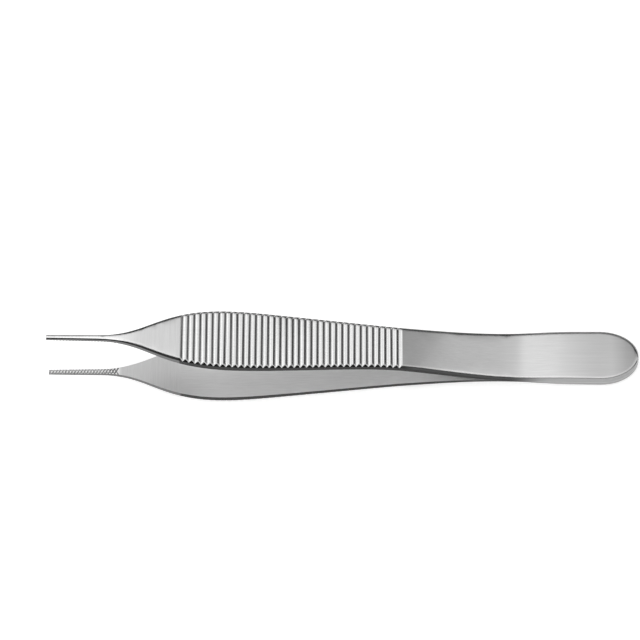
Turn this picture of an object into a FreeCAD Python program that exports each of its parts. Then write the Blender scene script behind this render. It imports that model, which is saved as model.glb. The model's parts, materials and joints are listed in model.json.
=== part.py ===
import FreeCAD
import Part

import math
import os

from FreeCAD import Vector

# Thumb forceps: two mirrored spring steel arms, joined face to face at the tail.
# An arm is first described lying along -X from its tail end, with its inner face towards
# the middle plane between the arms (z = 0) and its outer face away from it.
# All sizes are in millimetres and degrees.

# Lengths along an arm, from the tail to the tip
tail_round_length = 7.8
tail_flat_length = 14.0
weld_length = 24.5
bow_length = 11.5
rise_length = 12.0
flute_pitch = 1.25
flute_count = 36
shoulder_length = 12.0
neck_length = 4.45
straight_jaw_length = 10.55

# Widths across an arm
tail_width = 11.4
waist_width = 9.4
grip_width = 13.0
straight_jaw_width = 1.05
tip_width = 0.85

# Curves of the outline: where the grip is widest, back from its front end, and how far
# each curve holds its direction at the tail, the waist, the shoulder and the neck
widest_setback = 10.5
tail_reach = 16.0
waist_reach = 9.0
shoulder_reach = 15.5
neck_reach = 10.5

# Thickness of an arm
tail_thickness = 1.2
spring_thickness = 0.72
bow_thickness = 1.1
grip_rear_thickness = 1.35
grip_thickness = 1.45
jaw_root_thickness = 1.0
tip_thickness = 0.75

# Opening between the inner faces of the two arms
bow_gap = 1.3
grip_rear_gap = 5.2
grip_middle_gap = 9.34
grip_front_gap = 12.3
jaw_root_gap = 12.9
tip_gap = 13.6

# Rounding of the outer edges, on the handle and grip and on the jaw
edge_radius = 0.45
jaw_edge_radius = 0.25

# Section of a cross flute: flat land beside it, eased crest, steep flanks to a sharp bottom
flute_land = 0.1
flute_crest_width = 0.32
flute_crest_slope = 22.5
flute_flank_slope = 40.0

# Crossed grooves of the jaw faces
serration_pitch = 0.64
serration_width = 0.3
serration_depth = 0.12
serration_slant = 30.0

# Longest step between the points that a curve along the arm passes through, and how far
# its middle may lie from its chord where it counts as straight
rail_step = 4.0
STRAIGHT = 0.000001

# How far a cutting body stands out past the metal that it cuts
clearance = 1.0

# Narrow flats that turn a rounded edge from the side wall to the outer face
edge_flats = 3

# Share of a quarter ellipse's half axis that makes its curve round
ROUND_SHARE = 0.5523

handle_length = weld_length + bow_length + rise_length
grip_middle = handle_length + flute_pitch * flute_count / 2
grip_end = handle_length + flute_pitch * flute_count
widest_at = grip_end - widest_setback
jaw_root = grip_end + shoulder_length
neck_end = jaw_root + neck_length
overall_length = neck_end + straight_jaw_length
jaw_rise = (tip_gap - jaw_root_gap) / 2 / (overall_length - jaw_root)
jaw_taper = (tip_width - straight_jaw_width) / 2 / straight_jaw_length

ACROSS = Vector(0, 1, 0)
TOWARDS_TIP = Vector(-1, 0, 0)
ALONG_JAW = Vector(-1, 0, jaw_rise)


def arm_point(distance, across, height):
    """A point of the arm, from its distance to the tail end."""
    return Vector(-distance, across, height)


def smooth_curve(points, start_direction, end_direction):
    """A smooth curve through points, which starts and ends in the given directions."""
    curve = Part.BSplineCurve()
    curve.interpolate(Points=points, InitialTangent=start_direction, FinalTangent=end_direction)
    return curve


def eased_curve(start, start_reach, end_reach, end):
    """A curve that leaves start along one reach and comes to end along the other."""
    curve = Part.BezierCurve()
    curve.setPoles([start, start + start_reach, end - end_reach, end])
    return curve


def point_at(curve, distance):
    """The point of a curve along the arm that lies at that distance from the tail end."""
    low = curve.FirstParameter
    high = curve.LastParameter
    for _ in range(50):
        middle = (low + high) / 2
        if -curve.value(middle).x < distance:
            low = middle
        else:
            high = middle
    return curve.value(low)


# Side view of an arm

INNER_FACE = smooth_curve(
    [
        arm_point(weld_length, 0, 0),
        arm_point(weld_length + bow_length, 0, bow_gap / 2),
        arm_point(handle_length, 0, grip_rear_gap / 2),
        arm_point(grip_middle, 0, grip_middle_gap / 2),
        arm_point(grip_end, 0, grip_front_gap / 2),
        arm_point(jaw_root, 0, jaw_root_gap / 2),
    ],
    TOWARDS_TIP,
    ALONG_JAW,
)

OUTER_FACE = smooth_curve(
    [
        arm_point(tail_flat_length, 0, tail_thickness),
        arm_point(weld_length, 0, spring_thickness),
        arm_point(weld_length + bow_length, 0, bow_gap / 2 + bow_thickness),
        arm_point(handle_length, 0, grip_rear_gap / 2 + grip_rear_thickness),
        arm_point(grip_middle, 0, grip_middle_gap / 2 + grip_thickness),
        arm_point(grip_end, 0, grip_front_gap / 2 + grip_thickness),
        arm_point(jaw_root, 0, jaw_root_gap / 2 + jaw_root_thickness),
        arm_point(overall_length, 0, tip_gap / 2 + tip_thickness),
    ],
    TOWARDS_TIP,
    TOWARDS_TIP,
)


def inner_height(distance):
    """Flat over the weld, bowed up to the jaw, straight along the jaw."""
    if distance <= weld_length:
        return 0.0
    if distance >= jaw_root:
        return jaw_root_gap / 2 + (distance - jaw_root) * jaw_rise
    return point_at(INNER_FACE, distance).z


def outer_height(distance):
    """Flat over the tail, then bowed up to the tip."""
    if distance <= tail_flat_length:
        return tail_thickness
    return point_at(OUTER_FACE, distance).z


# Places of the flutes, from valley to valley

VALLEYS = [handle_length + (index + 0.5) * flute_pitch for index in range(flute_count)]
CREST_ENDS = [handle_length] + VALLEYS + [grip_end]


def straight_in_grip(size, distance):
    """A size along the arm, which changes evenly from each valley of the grip to the next."""
    for start, end in zip(CREST_ENDS, CREST_ENDS[1:]):
        if start <= distance <= end:
            share = (distance - start) / (end - start)
            return size(start) + share * (size(end) - size(start))
    return size(distance)


# Outline of an arm

HANDLE_SIDE = eased_curve(
    arm_point(tail_round_length, tail_width / 2, 0),
    TOWARDS_TIP * tail_reach,
    TOWARDS_TIP * waist_reach,
    arm_point(handle_length, waist_width / 2, 0),
)

GRIP_SIDE = eased_curve(
    arm_point(handle_length, waist_width / 2, 0),
    TOWARDS_TIP * waist_reach,
    TOWARDS_TIP * waist_reach,
    arm_point(widest_at, grip_width / 2, 0),
)

SHOULDER_SIDE = eased_curve(
    arm_point(widest_at, grip_width / 2, 0),
    TOWARDS_TIP * shoulder_reach,
    Vector(-1, jaw_taper, 0) * neck_reach,
    arm_point(neck_end, straight_jaw_width / 2, 0),
)


def half_width(distance):
    """Half the arm's width, from the end of the tail's rounding to the tip."""
    if distance <= tail_round_length:
        return tail_width / 2
    if distance <= handle_length:
        return point_at(HANDLE_SIDE, distance).y
    if distance <= widest_at:
        return point_at(GRIP_SIDE, distance).y
    if distance <= neck_end:
        return point_at(SHOULDER_SIDE, distance).y
    return straight_jaw_width / 2 + (distance - neck_end) * jaw_taper


def rim_radius(distance):
    """Radius of the rounded outer edge, which shrinks along the shoulder."""
    share = (distance - grip_end) / shoulder_length
    share = min(max(share, 0.0), 1.0)
    return edge_radius + share * (jaw_edge_radius - edge_radius)


# Corners of an arm's cross-section, on side 1 or -1


def wall_foot(distance, side):
    """Where the side wall meets the inner face."""
    half = straight_in_grip(half_width, distance)
    return arm_point(distance, side * half, inner_height(distance))


def edge_corner(turn):
    """The corner of the rounded edge that has turned so far from the wall to the face."""

    def corner(distance, side):
        radius = rim_radius(distance)
        inset = radius * (1 - math.cos(turn))
        drop = radius * (1 - math.sin(turn))
        half = straight_in_grip(half_width, distance) - inset
        height = straight_in_grip(outer_height, distance) - drop
        return arm_point(distance, side * half, height)

    return corner


EDGE_TURNS = [math.radians(90 * index / edge_flats) for index in range(edge_flats + 1)]
EDGE_CORNERS = [edge_corner(turn) for turn in EDGE_TURNS]
FACE_RIM = EDGE_CORNERS[-1]


# Faces along an arm


def rail(corner, side, start, end):
    """The edge that one corner of the cross-section draws from start to end."""
    chord_middle = (corner(start, side) + corner(end, side)) / 2
    if chord_middle.distanceToPoint(corner((start + end) / 2, side)) < STRAIGHT:
        return Part.makeLine(corner(start, side), corner(end, side))
    count = max(2, math.ceil((end - start) / rail_step))
    distances = [start + (end - start) * index / count for index in range(count + 1)]
    nudge = rail_step / 1000
    start_direction = (corner(start + nudge, side) - corner(start, side)) / nudge
    end_direction = (corner(end, side) - corner(end - nudge, side)) / nudge
    curve = Part.BSplineCurve()
    curve.interpolate(
        Points=[corner(distance, side) for distance in distances],
        Parameters=distances,
        InitialTangent=start_direction,
        FinalTangent=end_direction,
        Scale=False,
    )
    return curve.toShape()


def flat_face(edges):
    return Part.Face(Part.Wire(Part.__sortEdges__(edges)))


def faces_between(edges):
    """A strip between each edge and the next, flat where both lie in one plane."""
    faces = []
    for edge, after in zip(edges, edges[1:]):
        ends = []
        for index in (0, -1):
            ends.append(Part.makeLine(edge.Vertexes[index].Point, after.Vertexes[index].Point))
        if Part.Compound([edge, after]).findPlane():
            faces.append(flat_face([edge, after] + ends))
        else:
            faces.append(Part.makeRuledSurface(edge, after))
    return faces


def side_faces(start, end):
    """Both side walls and both rounded edges between two distances."""
    faces = []
    for side in (1, -1):
        corners = [wall_foot] + EDGE_CORNERS
        faces += faces_between([rail(corner, side, start, end) for corner in corners])
    return faces


def face_across(corner, start, end):
    """The face between the two curves that a corner draws on both sides of the arm."""
    return faces_between([rail(corner, side, start, end) for side in (1, -1)])


# Rounded end of the tail, and the tip


def tail_quarter(side, inset, height):
    """A quarter of the tail's elliptical end, set in from the outline."""
    length = tail_round_length - inset
    half = side * (tail_width / 2 - inset)
    return eased_curve(
        arm_point(inset, 0, height),
        ACROSS * (half * ROUND_SHARE),
        TOWARDS_TIP * (length * ROUND_SHARE),
        arm_point(tail_round_length, half, height),
    ).toShape()


def tail_faces():
    """Wall and rounded edge of the tail's end, its flat outer face and the welded face."""
    faces = []
    foot_edges = [Part.makeLine(wall_foot(weld_length, 1), wall_foot(weld_length, -1))]
    rim_edges = [Part.makeLine(FACE_RIM(tail_flat_length, 1), FACE_RIM(tail_flat_length, -1))]
    for side in (1, -1):
        curves = [tail_quarter(side, 0, 0)]
        for turn in EDGE_TURNS:
            inset = edge_radius * (1 - math.cos(turn))
            drop = edge_radius * (1 - math.sin(turn))
            curves.append(tail_quarter(side, inset, tail_thickness - drop))
        faces += faces_between(curves)
        foot_edges.append(curves[0])
        foot_edges.append(rail(wall_foot, side, tail_round_length, tail_flat_length))
        foot_edges.append(rail(wall_foot, side, tail_flat_length, weld_length))
        rim_edges.append(curves[-1])
        rim_edges.append(rail(FACE_RIM, side, tail_round_length, tail_flat_length))
    return faces + [flat_face(foot_edges), flat_face(rim_edges)]


def tip_end():
    """The blunt end of the tip."""
    corners = [wall_foot] + EDGE_CORNERS
    left = [corner(overall_length, 1) for corner in corners]
    right = [corner(overall_length, -1) for corner in reversed(corners)]
    return Part.Face(Part.makePolygon(left + right + left[:1]))


def plain_arm():
    """The arm before its flutes and serrations are cut."""
    stretches = [tail_round_length, tail_flat_length, weld_length]
    stretches += CREST_ENDS + [jaw_root, neck_end, overall_length]
    faces = tail_faces() + [tip_end()]
    for start, end in zip(stretches, stretches[1:]):
        faces += side_faces(start, end)
        if start >= tail_flat_length:
            faces += face_across(FACE_RIM, start, end)
        if start >= weld_length:
            faces += face_across(wall_foot, start, end)
    shell = Part.makeShell(faces)
    shell.sewShape()
    arm = Part.makeSolid(Part.Shell(shell.Faces))
    if arm.Volume < 0:
        arm.reverse()
    return arm


# Cross flutes of the grip


def prism_across(face, width):
    """The face, drawn in the side view, as a solid of that width about the arm's middle."""
    moved = face.copy()
    moved.translate(ACROSS * (-width / 2))
    return moved.extrude(ACROSS * width)


def flute_pattern():
    """A flute's section, with its mouth at z = 0 and its bottom below, run across the arm."""
    half_mouth = (flute_pitch - flute_land) / 2
    crest_drop = flute_crest_width * math.tan(math.radians(flute_crest_slope))
    flank_width = half_mouth - flute_crest_width
    depth = crest_drop + flank_width * math.tan(math.radians(flute_flank_slope))
    section = [
        Vector(-half_mouth, 0, clearance),
        Vector(-half_mouth, 0, 0),
        Vector(-flank_width, 0, -crest_drop),
        Vector(0, 0, -depth),
        Vector(flank_width, 0, -crest_drop),
        Vector(half_mouth, 0, 0),
        Vector(half_mouth, 0, clearance),
    ]
    face = Part.Face(Part.makePolygon(section + section[:1]))
    return prism_across(face, grip_width + 2 * clearance)


def flute_cutters():
    """One cutter for each flute, square to the bowed outer face."""
    pattern = flute_pattern()
    cutters = []
    for valley in VALLEYS:
        place = point_at(OUTER_FACE, valley)
        tangent = OUTER_FACE.tangent(OUTER_FACE.parameter(place))[0]
        cutter = pattern.copy()
        cutter.rotate(Vector(0, 0, 0), ACROSS, math.degrees(math.atan2(tangent.z, -tangent.x)))
        cutter.translate(place)
        cutters.append(cutter)
    return cutters


# Crossed grooves of the jaw


def serration_places():
    """Middle of each groove, from the tip back to the last that keeps within the jaw's face."""
    lean = half_width(jaw_root) * math.tan(math.radians(serration_slant))
    reach = lean + serration_width / 2 / math.cos(math.radians(serration_slant))
    count = math.ceil((overall_length - jaw_root - reach) / serration_pitch - 0.5)
    return [overall_length - (index + 0.5) * serration_pitch for index in range(count)]


def serration_cutters(slant):
    """One V groove at each place along the jaw, all slanted the same way."""
    section = [
        Vector(-serration_width / 2, 0, 0),
        Vector(0, 0, serration_depth),
        Vector(serration_width / 2, 0, 0),
        Vector(serration_width / 2, 0, -clearance),
        Vector(-serration_width / 2, 0, -clearance),
        Vector(-serration_width / 2, 0, 0),
    ]
    width = 2 * half_width(jaw_root) + 2 * clearance
    pattern = prism_across(Part.Face(Part.makePolygon(section)), width)
    pattern.rotate(Vector(0, 0, 0), Vector(0, 0, 1), slant)
    pattern.rotate(Vector(0, 0, 0), ACROSS, math.degrees(math.atan(jaw_rise)))
    cutters = []
    for distance in serration_places():
        cutter = pattern.copy()
        cutter.translate(arm_point(distance, 0, inner_height(distance)))
        cutters.append(cutter)
    return cutters


# The two arms at rest


def finished_arm():
    """The arm on the +Z side of the middle plane."""
    arm = plain_arm()
    arm = arm.cut(serration_cutters(serration_slant))
    arm = arm.cut(serration_cutters(-serration_slant))
    arm = arm.cut(flute_cutters())
    return arm.Solids[0]


def rest_tilt():
    """Tilt at which the lower arm's tail and the bulge of its grip touch one flat surface."""
    steepest = 0.0
    for index in range(flute_count + 1):
        distance = handle_length + index * flute_pitch
        rise = outer_height(distance) - tail_thickness
        steepest = max(steepest, rise / (distance - edge_radius))
    return math.degrees(math.atan(steepest))


def arms_at_rest():
    """Both arms, lying on the lower one, over the middle of the surface that they lie on."""
    upper = finished_arm()
    lower = upper.mirror(Vector(0, 0, 0), Vector(0, 0, 1))
    arms = {"upper_arm": upper, "lower_arm": lower}
    for arm in arms.values():
        arm.rotate(Vector(0, 0, 0), ACROSS, rest_tilt())
    box = Part.Compound(list(arms.values())).optimalBoundingBox(False)
    for arm in arms.values():
        arm.translate(Vector(-box.Center.x, 0, -box.ZMin))
    return arms


if __name__ == "__main__":
    os.makedirs("parts", exist_ok=True)
    for name, arm in arms_at_rest().items():
        arm.exportStep(f"parts/{name}.step")
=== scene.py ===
import json
import math

import bpy
from mathutils import Matrix, Vector


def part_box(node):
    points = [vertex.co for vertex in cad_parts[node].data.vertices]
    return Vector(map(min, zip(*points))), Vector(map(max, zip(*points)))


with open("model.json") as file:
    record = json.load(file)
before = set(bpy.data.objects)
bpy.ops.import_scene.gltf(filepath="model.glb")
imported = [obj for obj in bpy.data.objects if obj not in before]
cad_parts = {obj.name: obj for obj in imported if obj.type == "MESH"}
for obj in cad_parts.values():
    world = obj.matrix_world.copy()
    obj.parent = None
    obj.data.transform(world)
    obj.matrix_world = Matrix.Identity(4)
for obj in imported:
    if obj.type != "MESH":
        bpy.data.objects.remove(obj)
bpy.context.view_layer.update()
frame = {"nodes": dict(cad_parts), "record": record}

MM = 0.001


# Upper arm and lower arm
# Each is one forging of hardenable stainless steel, ground to shape and satin finished, with
# cross flutes milled over the outer face of the grip. The two are welded together along the
# closed tail, and the weld is ground flush, so only a fine line of it shows.

COLOURS = {
    "satin": "cfcfcf",
    # Painted highlight over the spring, lighter than the satin around it
    "spring": "dcdcdc",
    # Painted shade towards the end of the tail
    "tail tip shade": "b2b2b2",
    # Painted shade over the end of the handle next to the grip
    "handle end shade": "aeaeae",
    "flutes": "dedede",
    "jaw": "f2f2f2",
    "inner face": "e4e4e4",
    "inner shoulder": "cccccc",
    "inner jaw": "f0f0f0",
    # Painted shade on the sides of the grooves, at the root of the jaw and in the jaw's serrations
    "root groove shade": "9a9a9a",
    "jaw groove shade": "c0c0c0",
    # Painted dark reflection on the steep half of the rounded edges, for each stretch of the arm
    "handle rim reflection": "484848",
    "grip rim reflection": "141414",
    "jaw rim reflection": "2a2a2a",
    # Painted dark reflection on the walls between the faces, lighter at the tail
    "tail wall reflection": "9c9c9c",
    "handle wall reflection": "303030",
    "jaw wall reflection": "6e6e6e",
    "weld": "b4b4b4",
}

SATIN_ROUGHNESS = 0.30
FLUTE_ROUGHNESS = 0.16
RIM_ROUGHNESS = 0.12
INNER_ROUGHNESS = 0.45
GROOVE_ROUGHNESS = 0.22
WALL_ROUGHNESS = 0.34
WEAR = 0.04

# Places along the arm, in millimetres from the end of the tail
WELD_END = 24.5
GRIP_START = 48.0
GRIP_END = 93.0
JAW_START = 105.0
FLUTE_PITCH = 1.25

# For each stretch of the arm, where it starts to show and where it is complete
STRETCHES = {
    # Where the painted shade at the end of the tail lies
    "tail tip shade": (6.0, 1.0),
    "weld": (WELD_END + 2.0, WELD_END - 7.0),
    # Where the painted highlight over the spring lies
    "from spring": (7.5, 17.0),
    "past spring": (22.5, 26.0),
    # Where the painted shade at the handle's end lies
    "handle end shade": (37.0, 47.0),
    "past handle": (GRIP_START - 0.1, GRIP_START + 0.1),
    "past handle rim reflection": (GRIP_START - 3.0, GRIP_START + 2.0),
    "inner shoulder": (GRIP_END - 8.0, GRIP_END + 4.0),
    "past grip": (GRIP_END - 0.1, GRIP_END + 0.1),
    "past grip rim reflection": (GRIP_END - 1.0, GRIP_END + 1.0),
    "past shoulder": (JAW_START - 5.0, JAW_START + 3.0),
    "inner jaw": (JAW_START, JAW_START + 1.0),
    "past root": (JAW_START + 0.5, JAW_START + 4.5),
}

# Faces told apart by how far they face out of the arm, and by how far they face sideways
OUTER_FACE = (0.45, 0.6)
INNER_FACE = (-0.45, -0.6)
ABOVE_WALL = (0.0, 0.1)
WALL = (0.25, 0.1)
RIM = (0.05, 0.2)
# Where the turned normal leans this far sideways, a dark reflection is painted on the rounded edge
DARK_REFLECTION_RIM = (0.40, 0.55)
GROOVE_SIDE = (0.1, 0.25)

# Half the height of the weld's line, in millimetres, fading outwards
WELD_LINE = (0.12, 0.04)

# Length and width of the grinding lines and of the worn patches, in millimetres. The lines are
# coarser than the real grit, so that they show.
LONG_LINES = (14.0, 0.22)
CROSS_LINES = (0.22, 6.0)
WORN_PATCHES = (9.0, 4.0)
LINE_SHADES = (0.86, 1.10)
LINE_DEPTH = 0.01
SATIN_BUMP = 0.25
FLUTE_BUMP = 0.06

# Reach of the buffing wheel from an edge, in millimetres, and how strongly it rounds a plain
# edge, the end of a flute's crest and the jaw
BUFFED_REACH = 0.90
BUFFED_SAMPLES = 8
PLAIN_TURN = 2.0
CREST_TURN = 3.4
JAW_TURN = 0.4

SMOOTH_ANGLE = 32.0
CORNER_GAP = 0.001

tail_face = next(m for m in frame["record"]["mounts"] if m["name"] == "tail_upper_face")
ACROSS = Vector((0, 1, 0))
OUTWARD = Vector(tail_face["axis"])
TOWARDS_TIPS = Vector((-OUTWARD.z, 0, OUTWARD.x))
TAIL_END = Vector((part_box("lower_arm")[1].x, 0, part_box("upper_arm")[0].z))


def linear(code):
    """A colour written as sRGB hex, as the linear value that a shader takes."""
    parts = [int(code[index : index + 2], 16) / 255 for index in (0, 2, 4)]
    return [p / 12.92 if p <= 0.04045 else ((p + 0.055) / 1.055) ** 2.4 for p in parts] + [1.0]


def add(tree, kind, links=None, **settings):
    """Adds a node. links gives its inputs, each a value, an output or the node it comes from."""
    made = tree.nodes.new(kind)
    for name, value in settings.items():
        setattr(made, name, value)
    for key, value in (links or {}).items():
        if isinstance(key, int):
            socket = made.inputs[key]
        else:
            socket = next(s for s in made.inputs if s.name == key and s.enabled)
        if isinstance(value, bpy.types.Node):
            value = next(output for output in value.outputs if output.enabled)
        if isinstance(value, bpy.types.NodeSocket):
            tree.links.new(value, socket)
        else:
            socket.default_value = value
    return made


def shares(tree, spans):
    """For each name's value and span: 0 before the span, 1 past it, and eased inside it."""
    return {
        name: add(
            tree,
            "ShaderNodeMapRange",
            {"Value": value, "From Min": start, "From Max": end},
            interpolation_type="SMOOTHSTEP",
        )
        for name, (value, (start, end)) in spans.items()
    }


def coats(tree, ground, layers, data_type="RGBA"):
    """A ground colour or number with layers over it in order, each laid on by its share."""
    for share, layer in layers:
        ground = add(
            tree,
            "ShaderNodeMix",
            {"Factor": share, "A": ground, "B": layer},
            data_type=data_type,
        )
    return ground


def ground_stainless():
    """Ground stainless steel: an even grey metal with a soft sheen along its grinding lines.

    The flutes and the rounded edges are buffed, so they take sharper and brighter reflections.
    The walls between the faces and the steep half of the rounded edges are painted with a dark
    reflection, lighter at the tail. Painted shade darkens the tip of the tail, the end of the
    handle and the sides of the grooves, and a painted highlight lightens the spring.
    """
    material = bpy.data.materials.new("ground_stainless_steel")
    material.use_nodes = True
    tree = material.node_tree
    shader = tree.nodes["Principled BSDF"]
    tint = {name: linear(code) for name, code in COLOURS.items()}

    place = add(tree, "ShaderNodeTexCoord").outputs["Object"]
    true_normal = add(tree, "ShaderNodeNewGeometry").outputs["Normal"]
    from_tail = add(tree, "ShaderNodeVectorMath", {0: place, 1: TAIL_END}, operation="SUBTRACT")
    distance, height, across = [
        add(tree, "ShaderNodeVectorMath", {0: from_tail, 1: axis / MM}, operation="DOT_PRODUCT")
        for axis in (TOWARDS_TIPS, OUTWARD, ACROSS)
    ]
    side = add(tree, "ShaderNodeMath", {0: height}, operation="SIGN")
    from_middle = add(tree, "ShaderNodeMath", {0: height}, operation="ABSOLUTE")
    upward = add(tree, "ShaderNodeVectorMath", {0: true_normal, 1: OUTWARD}, operation="DOT_PRODUCT")
    facing = add(tree, "ShaderNodeMath", {0: upward, 1: side}, operation="MULTIPLY")
    flatness = add(tree, "ShaderNodeMath", {0: facing}, operation="ABSOLUTE")

    share = shares(
        tree,
        {name: (distance, span) for name, span in STRETCHES.items()}
        | {
            "outer face": (facing, OUTER_FACE),
            "inner face": (facing, INNER_FACE),
            "above wall": (facing, ABOVE_WALL),
            "wall": (flatness, WALL),
            "weld line": (from_middle, WELD_LINE),
        },
    )
    for name, operation, first, second in (
        ("grip", "SUBTRACT", "past handle", "past grip"),
        ("flutes", "MULTIPLY", "grip", "outer face"),
        ("spring", "SUBTRACT", "from spring", "past spring"),
        ("weld line", "MULTIPLY", "weld line", "wall"),
        ("weld line", "MULTIPLY", "weld", "weld line"),
    ):
        share[name] = add(
            tree, "ShaderNodeMath", {0: share[first], 1: share[second]}, operation=operation
        )

    # The buffed edge: the normal turns sideways near an edge, most at the ends of the crests
    # and not at all at the ends of the valleys between them
    from_grip = add(tree, "ShaderNodeMath", {0: distance, 1: GRIP_START}, operation="SUBTRACT")
    flute_place = add(tree, "ShaderNodeMath", {0: from_grip, 1: FLUTE_PITCH}, operation="DIVIDE")
    from_crest = add(tree, "ShaderNodeMath", {0: flute_place, 1: 0.5}, operation="PINGPONG")
    flute_turn = add(
        tree,
        "ShaderNodeMapRange",
        {"Value": from_crest, "From Max": 0.5, "To Min": CREST_TURN, "To Max": 0.0},
    )
    turn = coats(
        tree,
        PLAIN_TURN,
        [(share["past shoulder"], JAW_TURN), (share["grip"], flute_turn)],
        "FLOAT",
    )
    turn = add(tree, "ShaderNodeMath", {0: share["outer face"], 1: turn}, operation="MULTIPLY")
    edge = add(
        tree, "ShaderNodeBevel", {"Radius": BUFFED_REACH * MM}, samples=BUFFED_SAMPLES
    )
    edge_side = add(tree, "ShaderNodeVectorMath", {0: edge, 1: ACROSS}, operation="DOT_PRODUCT")
    turn = add(tree, "ShaderNodeMath", {0: turn, 1: edge_side}, operation="MULTIPLY")
    turned = add(
        tree,
        "ShaderNodeVectorMath",
        {0: ACROSS, 1: turn, 2: true_normal},
        operation="MULTIPLY_ADD",
    )
    normal = add(tree, "ShaderNodeVectorMath", {0: turned}, operation="NORMALIZE")
    lean = add(tree, "ShaderNodeVectorMath", {0: normal, 1: ACROSS}, operation="DOT_PRODUCT")
    sideways = add(tree, "ShaderNodeMath", {0: lean}, operation="ABSOLUTE")

    # How far the turned normal leans sideways decides where the rims' dark reflection is painted, in
    # teeth at the ends of the crests
    share |= shares(
        tree,
        {
            "rim": (sideways, RIM),
            "dark reflection rim": (sideways, DARK_REFLECTION_RIM),
            "groove": (sideways, GROOVE_SIDE),
        },
    )
    for name, first in (("rim", "outer face"), ("dark reflection rim", "above wall"), ("groove", "inner face")):
        share[name] = add(
            tree, "ShaderNodeMath", {0: share[first], 1: share[name]}, operation="MULTIPLY"
        )

    def grain(length, width):
        """Grinding lines, from their length and width in millimetres."""
        spacing = {"X": (distance, length), "Y": (across, width), "Z": (height, min(length, width))}
        scaled = add(
            tree,
            "ShaderNodeCombineXYZ",
            {
                axis: add(tree, "ShaderNodeMath", {0: value, 1: 1 / size}, operation="MULTIPLY")
                for axis, (value, size) in spacing.items()
            },
        )
        return add(
            tree,
            "ShaderNodeTexNoise",
            {"Vector": scaled, "Scale": 1.0, "Detail": 3.0, "Roughness": 0.6},
        )

    lines = coats(tree, grain(*LONG_LINES), [(share["past grip"], grain(*CROSS_LINES))], "FLOAT")

    inner_face = coats(
        tree,
        tint["inner face"],
        [(share["inner shoulder"], tint["inner shoulder"]), (share["inner jaw"], tint["inner jaw"])],
    )
    # Painted shade on the sides of the grooves
    groove = coats(tree, tint["root groove shade"], [(share["past root"], tint["jaw groove shade"])])
    # Painted dark reflection on the rounded edges, lighter at the tail
    rim = coats(
        tree,
        tint["handle rim reflection"],
        [
            (share["weld"], tint["tail wall reflection"]),
            (share["past handle rim reflection"], tint["grip rim reflection"]),
            (share["past grip rim reflection"], tint["jaw rim reflection"]),
        ],
    )
    # Painted dark reflection on the walls, lighter at the tail
    wall = coats(
        tree,
        tint["handle wall reflection"],
        [(share["weld"], tint["tail wall reflection"]), (share["past grip"], tint["jaw wall reflection"])],
    )
    # The satin ground, with painted shade at the tail's tip, the handle's end and the groove sides,
    # a painted highlight over the spring, and painted dark reflection on the rims and walls
    colour = coats(
        tree,
        tint["satin"],
        [
            (share["tail tip shade"], tint["tail tip shade"]),
            (share["spring"], tint["spring"]),
            (share["handle end shade"], tint["handle end shade"]),
            (share["past grip"], tint["satin"]),
            (share["flutes"], tint["flutes"]),
            (share["past shoulder"], tint["jaw"]),
            (share["inner face"], inner_face),
            (share["groove"], groove),
            (share["dark reflection rim"], rim),
            (share["wall"], wall),
            (share["weld line"], tint["weld"]),
        ],
    )
    darkest, brightest = LINE_SHADES
    shade = add(
        tree, "ShaderNodeMapRange", {"Value": lines, "To Min": darkest, "To Max": brightest}
    )
    shaded = add(tree, "ShaderNodeVectorMath", {0: colour, "Scale": shade}, operation="SCALE")
    tree.links.new(shaded.outputs[0], shader.inputs["Base Color"])

    rough = coats(
        tree,
        SATIN_ROUGHNESS,
        [
            (share["flutes"], FLUTE_ROUGHNESS),
            (share["inner face"], INNER_ROUGHNESS),
            (share["groove"], GROOVE_ROUGHNESS),
            (share["rim"], RIM_ROUGHNESS),
            (share["wall"], WALL_ROUGHNESS),
        ],
        "FLOAT",
    )
    worn = add(
        tree,
        "ShaderNodeMapRange",
        {"Value": grain(*WORN_PATCHES), "To Min": -WEAR, "To Max": WEAR},
    )
    rough = add(tree, "ShaderNodeMath", {0: rough, 1: worn}, operation="ADD")
    tree.links.new(rough.outputs[0], shader.inputs["Roughness"])

    bump = add(
        tree,
        "ShaderNodeBump",
        {
            "Height": lines,
            "Strength": coats(tree, SATIN_BUMP, [(share["flutes"], FLUTE_BUMP)], "FLOAT"),
            "Distance": LINE_DEPTH * MM,
            "Normal": normal,
        },
    )
    tree.links.new(bump.outputs["Normal"], shader.inputs["Normal"])
    shader.inputs["Metallic"].default_value = 1.0
    return material


def even_normals():
    """Shades the narrow flats of the rounded edges as one round, and leaves sharp edges sharp."""
    group = bpy.data.node_groups.new("smooth_narrow_flats", "GeometryNodeTree")
    group.interface.new_socket("Geometry", in_out="INPUT", socket_type="NodeSocketGeometry")
    group.interface.new_socket("Geometry", in_out="OUTPUT", socket_type="NodeSocketGeometry")
    smooth = add(
        group,
        "GeometryNodeSetShadeSmooth",
        {"Geometry": add(group, "NodeGroupInput"), "Shade Smooth": True},
        domain="FACE",
    )
    steep = add(
        group,
        "FunctionNodeCompare",
        {"A": add(group, "GeometryNodeInputMeshEdgeAngle"), "B": math.radians(SMOOTH_ANGLE)},
        data_type="FLOAT",
        operation="GREATER_THAN",
    )
    sharp = add(
        group,
        "GeometryNodeSetShadeSmooth",
        {"Geometry": smooth, "Selection": steep, "Shade Smooth": False},
        domain="EDGE",
    )
    add(group, "NodeGroupOutput", {0: sharp})
    return group


arm_steel = ground_stainless()
arm_normals = even_normals()
for name in ("upper_arm", "lower_arm"):
    arm = frame["nodes"][name]
    arm.data.materials.clear()
    arm.data.materials.append(arm_steel)
    weld = arm.modifiers.new("join_corners", "WELD")
    weld.merge_threshold = CORNER_GAP * MM
    smooth = arm.modifiers.new("smooth_narrow_flats", "NODES")
    smooth.node_group = arm_normals
    weighted = arm.modifiers.new("keep_faces_flat", "WEIGHTED_NORMAL")
    weighted.mode = "FACE_AREA"
    weighted.keep_sharp = True


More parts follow.
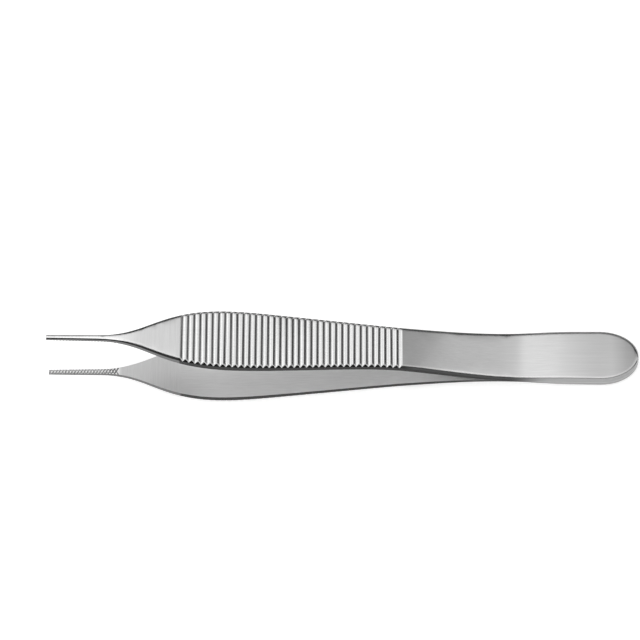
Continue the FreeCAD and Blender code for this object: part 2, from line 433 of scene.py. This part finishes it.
# Floor
# A plain white sheet that the forceps lie on. It keeps their soft shadow, and its glow lifts
# it to the white of paper wherever it is seen, also in the steel.

FLOOR_COLOUR = "e6e6e6"
FLOOR_ROUGHNESS = 0.9
FLOOR_SPECULAR = 0.1
FLOOR_GLOW = 0.50
FLOOR_HALF = 4.0


def white_sheet():
    """Uncoated white paper: matt, with no gloss of its own."""
    material = bpy.data.materials.new("white_paper_sheet")
    material.use_nodes = True
    tree = material.node_tree
    shader = tree.nodes["Principled BSDF"]
    shader.inputs["Base Color"].default_value = linear(FLOOR_COLOUR)
    shader.inputs["Roughness"].default_value = FLOOR_ROUGHNESS
    shader.inputs["Specular IOR Level"].default_value = FLOOR_SPECULAR
    shader.inputs["Emission Color"].default_value = linear("ffffff")
    rays = add(tree, "ShaderNodeLightPath").outputs
    seen = rays["Is Camera Ray"]
    for ray in ("Is Glossy Ray", "Is Transmission Ray"):
        seen = add(tree, "ShaderNodeMath", {0: seen, 1: rays[ray]}, operation="MAXIMUM")
    glow = add(tree, "ShaderNodeMath", {0: seen, 1: FLOOR_GLOW}, operation="MULTIPLY")
    tree.links.new(glow.outputs[0], shader.inputs["Emission Strength"])
    return material


sheet_mesh = bpy.data.meshes.new("floor_sheet")
corners = [(x * FLOOR_HALF, y * FLOOR_HALF, 0) for x, y in ((-1, -1), (1, -1), (1, 1), (-1, 1))]
sheet_mesh.from_pydata(corners, [], [(0, 1, 2, 3)])
sheet_mesh.materials.append(white_sheet())
floor_sheet = bpy.data.objects.new("floor_sheet", sheet_mesh)
bpy.context.scene.collection.objects.link(floor_sheet)


# Studio light
# A white ceiling whose level changes along the forceps, with a brighter strip overhead that
# draws the front edges and a dark card behind that draws the back ones, and two soft boxes.

# How far a direction leans towards the tail, from -1 to 1, and the ceiling's level there. The
# bright band at -0.2 is what the flutes' lower flanks show after two bounces.
CEILING_LEVELS = [
    (-0.90, 1.80),
    (-0.72, 1.50),
    (-0.58, 0.75),
    (-0.38, 0.72),
    (-0.28, 1.15),
    (-0.16, 1.15),
    (-0.04, 0.85),
    (0.20, 0.82),
    (0.36, 0.84),
    (0.62, 0.56),
    (0.80, 0.05),
]
STRIP_LEVEL = 1.30
STRIP_SHARE = 0.75
STRIP_EDGES = (0.22, 0.36)
CARD_LEVEL = 0.04
CARD_EDGES = (0.56, 0.74)

world = bpy.data.worlds.new("studio")
bpy.context.scene.world = world
world.use_nodes = True
sky = world.node_tree
direction = add(sky, "ShaderNodeTexCoord").outputs["Generated"]
heading = add(sky, "ShaderNodeSeparateXYZ", {0: direction}).outputs
towards_tail = add(
    sky, "ShaderNodeMapRange", {"Value": heading["X"], "From Min": -1.0, "From Max": 1.0}
)
ceiling = add(sky, "ShaderNodeValToRGB", {"Fac": towards_tail})
points = ceiling.color_ramp.elements
while len(points) < len(CEILING_LEVELS):
    points.new(0.5)
for point, (lean, level) in zip(points, CEILING_LEVELS):
    point.position = (lean + 1) / 2
    point.color = (level, level, level, 1)
off_middle = add(sky, "ShaderNodeMath", {0: heading["Y"]}, operation="ABSOLUTE")
beyond = shares(sky, {"strip": (off_middle, STRIP_EDGES), "card": (heading["Y"], CARD_EDGES)})
studio_light = coats(
    sky,
    ceiling,
    [
        (STRIP_SHARE, [STRIP_LEVEL] * 3 + [1]),
        (beyond["strip"], ceiling),
        (beyond["card"], [CARD_LEVEL] * 3 + [1]),
    ],
)
sky.links.new(studio_light.outputs[2], sky.nodes["Background"].inputs["Color"])


def soft_box(name, place, size, radiance):
    """A flat soft box that faces the forceps, from its place and size in millimetres."""
    lamp = bpy.data.lights.new(name, "AREA")
    lamp.shape = "RECTANGLE"
    lamp.size = size[0] * MM
    lamp.size_y = size[1] * MM
    lamp.energy = radiance * math.pi * lamp.size * lamp.size_y
    box = bpy.data.objects.new(name, lamp)
    box.location = Vector(place) * MM
    box.rotation_euler = (-Vector(place)).to_track_quat("-Z", "Y").to_euler()
    box.visible_camera = False
    bpy.context.scene.collection.objects.link(box)


soft_box("back_soft_box", (-90, 150, 260), (300, 200), 0.3)
soft_box("top_soft_box", (0, -60, 330), (600, 220), 0.15)


# Camera
# It looks at the outer face of the upper arm, 30 degrees off its normal towards the lower
# edge, through a long lens, with the forceps across the picture and their tips to the left.

LENS = 300.0
SENSOR = 36.0
CLIP_START = 0.01
CLIP_END = 20.0
PICTURE_WIDTH = 640
PIXELS_PER_MM = 4.925
VIEW_TILT = 30.0
ROLL = 0.33
TAIL_PIXEL = (638.5, 358.4)

camera_data = bpy.data.cameras.new("camera")
camera_data.lens = LENS
camera_data.sensor_width = SENSOR
camera_data.clip_start = CLIP_START
camera_data.clip_end = CLIP_END
camera = bpy.data.objects.new("camera", camera_data)
bpy.context.scene.collection.objects.link(camera)
bpy.context.scene.camera = camera

pixel = MM / PIXELS_PER_MM
tilt = math.radians(VIEW_TILT)
towards_camera = OUTWARD * math.cos(tilt) - ACROSS * math.sin(tilt)
picture_right = Matrix.Rotation(math.radians(ROLL), 3, towards_camera) @ -TOWARDS_TIPS
picture_up = towards_camera.cross(picture_right)
aim = TAIL_END
aim = aim - picture_right * (TAIL_PIXEL[0] - PICTURE_WIDTH / 2) * pixel
aim = aim + picture_up * (TAIL_PIXEL[1] - PICTURE_WIDTH / 2) * pixel
camera_distance = LENS / SENSOR * PICTURE_WIDTH * pixel
turn = Matrix((picture_right, picture_up, towards_camera)).transposed()
camera.matrix_world = Matrix.Translation(aim + towards_camera * camera_distance) @ turn.to_4x4()

bpy.context.scene.view_settings.view_transform = "Standard"
